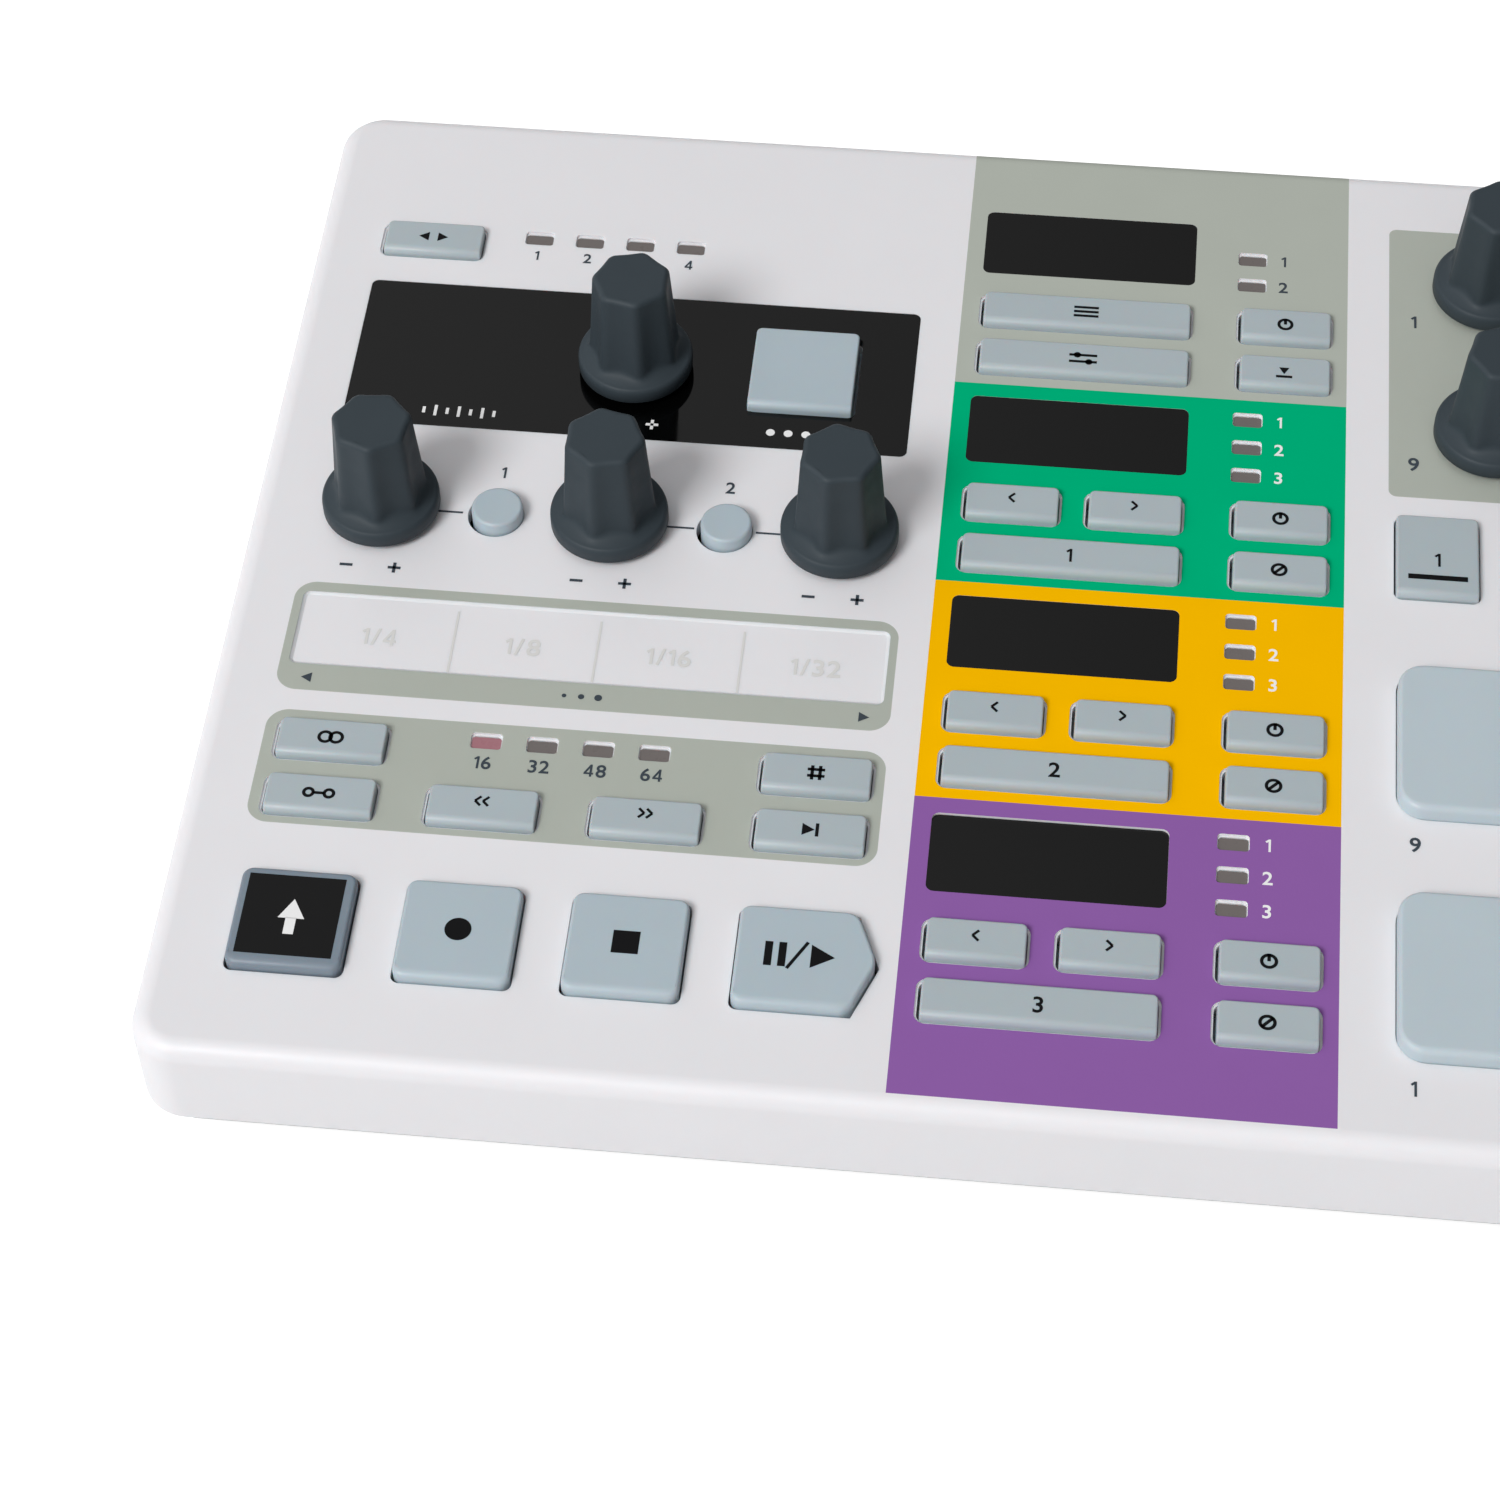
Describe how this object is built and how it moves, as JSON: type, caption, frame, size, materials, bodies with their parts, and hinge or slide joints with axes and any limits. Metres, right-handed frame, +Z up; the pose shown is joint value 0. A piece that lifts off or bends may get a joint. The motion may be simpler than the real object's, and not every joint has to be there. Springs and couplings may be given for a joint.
{
  "type": "midi pad controller",
  "caption": "Wide, low desktop controller: white case with a colour-coded strip of keys and windows, tall fluted endless knobs, transport keys, a touch strip, step keys and rows of soft pads.",
  "frame": {"origin": "on the table, under the middle of the case", "axes": "+X to the player's right along the case, +Y to the rear, +Z up"},
  "size_m": [0.413, 0.163, 0.0385],
  "materials": {
    "shell": "fine moulded satin",
    "steel": "black powder coat",
    "board": "solder resist",
    "window": "smoked acrylic",
    "touch": "smooth satin",
    "lens": "diffuse lens",
    "bright_steel": "plated",
    "rubber": "matt",
    "socket": "moulded",
    "knob": "soft-touch",
    "key": "satin silicone",
    "pad": "satin silicone"
  },
  "bodies": {
    "case": {"top_shell": "shell", "base_tray": "steel", "main_board": "board", "display_windows": "window", "touch_strip": "touch", "lamp_lenses": "lens", "encoder_bodies": "bright_steel", "key_contacts": "bright_steel", "rubber_feet": "rubber", "case_screws": "bright_steel", "rear_sockets": "socket"},
    "tempo_knob": {"tempo_knob": "knob"},
    "swing_knob": {"swing_knob": "knob"},
    "random_knob": {"random_knob": "knob"},
    "chance_knob": {"chance_knob": "knob"},
    "encoder_knob_01": {"encoder_knob_01": "knob"},
    "encoder_knob_02": {"encoder_knob_02": "knob"},
    "encoder_knob_03": {"encoder_knob_03": "knob"},
    "encoder_knob_04": {"encoder_knob_04": "knob"},
    "encoder_knob_05": {"encoder_knob_05": "knob"},
    "encoder_knob_06": {"encoder_knob_06": "knob"},
    "encoder_knob_07": {"encoder_knob_07": "knob"},
    "encoder_knob_08": {"encoder_knob_08": "knob"},
    "encoder_knob_09": {"encoder_knob_09": "knob"},
    "encoder_knob_10": {"encoder_knob_10": "knob"},
    "encoder_knob_11": {"encoder_knob_11": "knob"},
    "encoder_knob_12": {"encoder_knob_12": "knob"},
    "encoder_knob_13": {"encoder_knob_13": "knob"},
    "encoder_knob_14": {"encoder_knob_14": "knob"},
    "encoder_knob_15": {"encoder_knob_15": "knob"},
    "encoder_knob_16": {"encoder_knob_16": "knob"},
    "pad_01": {"pad_01": "pad"},
    "pad_02": {"pad_02": "pad"},
    "pad_03": {"pad_03": "pad"},
    "pad_04": {"pad_04": "pad"},
    "pad_05": {"pad_05": "pad"},
    "pad_06": {"pad_06": "pad"},
    "pad_07": {"pad_07": "pad"},
    "pad_08": {"pad_08": "pad"},
    "pad_09": {"pad_09": "pad"},
    "pad_10": {"pad_10": "pad"},
    "pad_11": {"pad_11": "pad"},
    "pad_12": {"pad_12": "pad"},
    "pad_13": {"pad_13": "pad"},
    "pad_14": {"pad_14": "pad"},
    "pad_15": {"pad_15": "pad"},
    "pad_16": {"pad_16": "pad"},
    "shift_key": {"shift_key": "key"},
    "record_key": {"record_key": "key"},
    "stop_key": {"stop_key": "key"},
    "play_key": {"play_key": "key"},
    "tap_key": {"tap_key": "key"},
    "sync_key": {"sync_key": "key"},
    "track_keys": {"track_keys": "key"},
    "link_keypad": {"link_keypad": "key"},
    "control_keypad": {"control_keypad": "key"},
    "track_1_keypad": {"track_1_keypad": "key"},
    "track_2_keypad": {"track_2_keypad": "key"},
    "drum_keypad": {"drum_keypad": "key"},
    "step_keypad": {"step_keypad": "key"}
  },
  "joints": [
    {"name": "tempo_knob_turn", "type": "hinge", "parent": "case", "child": "tempo_knob", "pos_m": [-0.1586, 0.0347, 0.0214], "axis": [0, 0, 1], "continuous": true},
    {"name": "swing_knob_turn", "type": "hinge", "parent": "case", "child": "swing_knob", "pos_m": [-0.1891, 0.0062, 0.0214], "axis": [0, 0, 1], "continuous": true},
    {"name": "random_knob_turn", "type": "hinge", "parent": "case", "child": "random_knob", "pos_m": [-0.1586, 0.0062, 0.0214], "axis": [0, 0, 1], "continuous": true},
    {"name": "chance_knob_turn", "type": "hinge", "parent": "case", "child": "chance_knob", "pos_m": [-0.1281, 0.0062, 0.0214], "axis": [0, 0, 1], "continuous": true},
    {"name": "encoder_knob_01_turn", "type": "hinge", "parent": "case", "child": "encoder_knob_01", "pos_m": [-0.0427, 0.0585, 0.0214], "axis": [0, 0, 1], "continuous": true},
    {"name": "encoder_knob_02_turn", "type": "hinge", "parent": "case", "child": "encoder_knob_02", "pos_m": [-0.0103, 0.0585, 0.0214], "axis": [0, 0, 1], "continuous": true},
    {"name": "encoder_knob_03_turn", "type": "hinge", "parent": "case", "child": "encoder_knob_03", "pos_m": [0.0221, 0.0585, 0.0214], "axis": [0, 0, 1], "continuous": true},
    {"name": "encoder_knob_04_turn", "type": "hinge", "parent": "case", "child": "encoder_knob_04", "pos_m": [0.0545, 0.0585, 0.0214], "axis": [0, 0, 1], "continuous": true},
    {"name": "encoder_knob_05_turn", "type": "hinge", "parent": "case", "child": "encoder_knob_05", "pos_m": [0.0869, 0.0585, 0.0214], "axis": [0, 0, 1], "continuous": true},
    {"name": "encoder_knob_06_turn", "type": "hinge", "parent": "case", "child": "encoder_knob_06", "pos_m": [0.1193, 0.0585, 0.0214], "axis": [0, 0, 1], "continuous": true},
    {"name": "encoder_knob_07_turn", "type": "hinge", "parent": "case", "child": "encoder_knob_07", "pos_m": [0.1517, 0.0585, 0.0214], "axis": [0, 0, 1], "continuous": true},
    {"name": "encoder_knob_08_turn", "type": "hinge", "parent": "case", "child": "encoder_knob_08", "pos_m": [0.1841, 0.0585, 0.0214], "axis": [0, 0, 1], "continuous": true},
    {"name": "encoder_knob_09_turn", "type": "hinge", "parent": "case", "child": "encoder_knob_09", "pos_m": [-0.0427, 0.0315, 0.0214], "axis": [0, 0, 1], "continuous": true},
    {"name": "encoder_knob_10_turn", "type": "hinge", "parent": "case", "child": "encoder_knob_10", "pos_m": [-0.0103, 0.0315, 0.0214], "axis": [0, 0, 1], "continuous": true},
    {"name": "encoder_knob_11_turn", "type": "hinge", "parent": "case", "child": "encoder_knob_11", "pos_m": [0.0221, 0.0315, 0.0214], "axis": [0, 0, 1], "continuous": true},
    {"name": "encoder_knob_12_turn", "type": "hinge", "parent": "case", "child": "encoder_knob_12", "pos_m": [0.0545, 0.0315, 0.0214], "axis": [0, 0, 1], "continuous": true},
    {"name": "encoder_knob_13_turn", "type": "hinge", "parent": "case", "child": "encoder_knob_13", "pos_m": [0.0869, 0.0315, 0.0214], "axis": [0, 0, 1], "continuous": true},
    {"name": "encoder_knob_14_turn", "type": "hinge", "parent": "case", "child": "encoder_knob_14", "pos_m": [0.1193, 0.0315, 0.0214], "axis": [0, 0, 1], "continuous": true},
    {"name": "encoder_knob_15_turn", "type": "hinge", "parent": "case", "child": "encoder_knob_15", "pos_m": [0.1517, 0.0315, 0.0214], "axis": [0, 0, 1], "continuous": true},
    {"name": "encoder_knob_16_turn", "type": "hinge", "parent": "case", "child": "encoder_knob_16", "pos_m": [0.1841, 0.0315, 0.0214], "axis": [0, 0, 1], "continuous": true},
    {"name": "pad_01_press", "type": "slide", "parent": "case", "child": "pad_01", "axis": [0, 0, -1], "range_m": [0, 0.001], "stiffness_N_per_m": 1200, "springref_m": -0.0006},
    {"name": "pad_02_press", "type": "slide", "parent": "case", "child": "pad_02", "axis": [0, 0, -1], "range_m": [0, 0.001], "stiffness_N_per_m": 1200, "springref_m": -0.0006},
    {"name": "pad_03_press", "type": "slide", "parent": "case", "child": "pad_03", "axis": [0, 0, -1], "range_m": [0, 0.001], "stiffness_N_per_m": 1200, "springref_m": -0.0006},
    {"name": "pad_04_press", "type": "slide", "parent": "case", "child": "pad_04", "axis": [0, 0, -1], "range_m": [0, 0.001], "stiffness_N_per_m": 1200, "springref_m": -0.0006},
    {"name": "pad_05_press", "type": "slide", "parent": "case", "child": "pad_05", "axis": [0, 0, -1], "range_m": [0, 0.001], "stiffness_N_per_m": 1200, "springref_m": -0.0006},
    {"name": "pad_06_press", "type": "slide", "parent": "case", "child": "pad_06", "axis": [0, 0, -1], "range_m": [0, 0.001], "stiffness_N_per_m": 1200, "springref_m": -0.0006},
    {"name": "pad_07_press", "type": "slide", "parent": "case", "child": "pad_07", "axis": [0, 0, -1], "range_m": [0, 0.001], "stiffness_N_per_m": 1200, "springref_m": -0.0006},
    {"name": "pad_08_press", "type": "slide", "parent": "case", "child": "pad_08", "axis": [0, 0, -1], "range_m": [0, 0.001], "stiffness_N_per_m": 1200, "springref_m": -0.0006},
    {"name": "pad_09_press", "type": "slide", "parent": "case", "child": "pad_09", "axis": [0, 0, -1], "range_m": [0, 0.001], "stiffness_N_per_m": 1200, "springref_m": -0.0006},
    {"name": "pad_10_press", "type": "slide", "parent": "case", "child": "pad_10", "axis": [0, 0, -1], "range_m": [0, 0.001], "stiffness_N_per_m": 1200, "springref_m": -0.0006},
    {"name": "pad_11_press", "type": "slide", "parent": "case", "child": "pad_11", "axis": [0, 0, -1], "range_m": [0, 0.001], "stiffness_N_per_m": 1200, "springref_m": -0.0006},
    {"name": "pad_12_press", "type": "slide", "parent": "case", "child": "pad_12", "axis": [0, 0, -1], "range_m": [0, 0.001], "stiffness_N_per_m": 1200, "springref_m": -0.0006},
    {"name": "pad_13_press", "type": "slide", "parent": "case", "child": "pad_13", "axis": [0, 0, -1], "range_m": [0, 0.001], "stiffness_N_per_m": 1200, "springref_m": -0.0006},
    {"name": "pad_14_press", "type": "slide", "parent": "case", "child": "pad_14", "axis": [0, 0, -1], "range_m": [0, 0.001], "stiffness_N_per_m": 1200, "springref_m": -0.0006},
    {"name": "pad_15_press", "type": "slide", "parent": "case", "child": "pad_15", "axis": [0, 0, -1], "range_m": [0, 0.001], "stiffness_N_per_m": 1200, "springref_m": -0.0006},
    {"name": "pad_16_press", "type": "slide", "parent": "case", "child": "pad_16", "axis": [0, 0, -1], "range_m": [0, 0.001], "stiffness_N_per_m": 1200, "springref_m": -0.0006},
    {"name": "shift_key_press", "type": "slide", "parent": "case", "child": "shift_key", "axis": [0, 0, -1], "range_m": [0, 0.001], "stiffness_N_per_m": 1200, "springref_m": -0.0006},
    {"name": "record_key_press", "type": "slide", "parent": "case", "child": "record_key", "axis": [0, 0, -1], "range_m": [0, 0.001], "stiffness_N_per_m": 1200, "springref_m": -0.0006},
    {"name": "stop_key_press", "type": "slide", "parent": "case", "child": "stop_key", "axis": [0, 0, -1], "range_m": [0, 0.001], "stiffness_N_per_m": 1200, "springref_m": -0.0006},
    {"name": "play_key_press", "type": "slide", "parent": "case", "child": "play_key", "axis": [0, 0, -1], "range_m": [0, 0.001], "stiffness_N_per_m": 1200, "springref_m": -0.0006},
    {"name": "tap_key_press", "type": "slide", "parent": "case", "child": "tap_key", "axis": [0, 0, -1], "range_m": [0, 0.001], "stiffness_N_per_m": 1200, "springref_m": -0.0006},
    {"name": "sync_key_press", "type": "slide", "parent": "case", "child": "sync_key", "axis": [0, 0, -1], "range_m": [0, 0.001], "stiffness_N_per_m": 1200, "springref_m": -0.0006},
    {"name": "track_keys_press", "type": "slide", "parent": "case", "child": "track_keys", "axis": [0, 0, -1], "range_m": [0, 0.001], "stiffness_N_per_m": 1200, "springref_m": -0.0006},
    {"name": "link_keypad_press", "type": "slide", "parent": "case", "child": "link_keypad", "axis": [0, 0, -1], "range_m": [0, 0.001], "stiffness_N_per_m": 1200, "springref_m": -0.0006},
    {"name": "control_keypad_press", "type": "slide", "parent": "case", "child": "control_keypad", "axis": [0, 0, -1], "range_m": [0, 0.001], "stiffness_N_per_m": 1200, "springref_m": -0.0006},
    {"name": "track_1_keypad_press", "type": "slide", "parent": "case", "child": "track_1_keypad", "axis": [0, 0, -1], "range_m": [0, 0.001], "stiffness_N_per_m": 1200, "springref_m": -0.0006},
    {"name": "track_2_keypad_press", "type": "slide", "parent": "case", "child": "track_2_keypad", "axis": [0, 0, -1], "range_m": [0, 0.001], "stiffness_N_per_m": 1200, "springref_m": -0.0006},
    {"name": "drum_keypad_press", "type": "slide", "parent": "case", "child": "drum_keypad", "axis": [0, 0, -1], "range_m": [0, 0.001], "stiffness_N_per_m": 1200, "springref_m": -0.0006},
    {"name": "step_keypad_press", "type": "slide", "parent": "case", "child": "step_keypad", "axis": [0, 0, -1], "range_m": [0, 0.001], "stiffness_N_per_m": 1200, "springref_m": -0.0006}
  ]
}
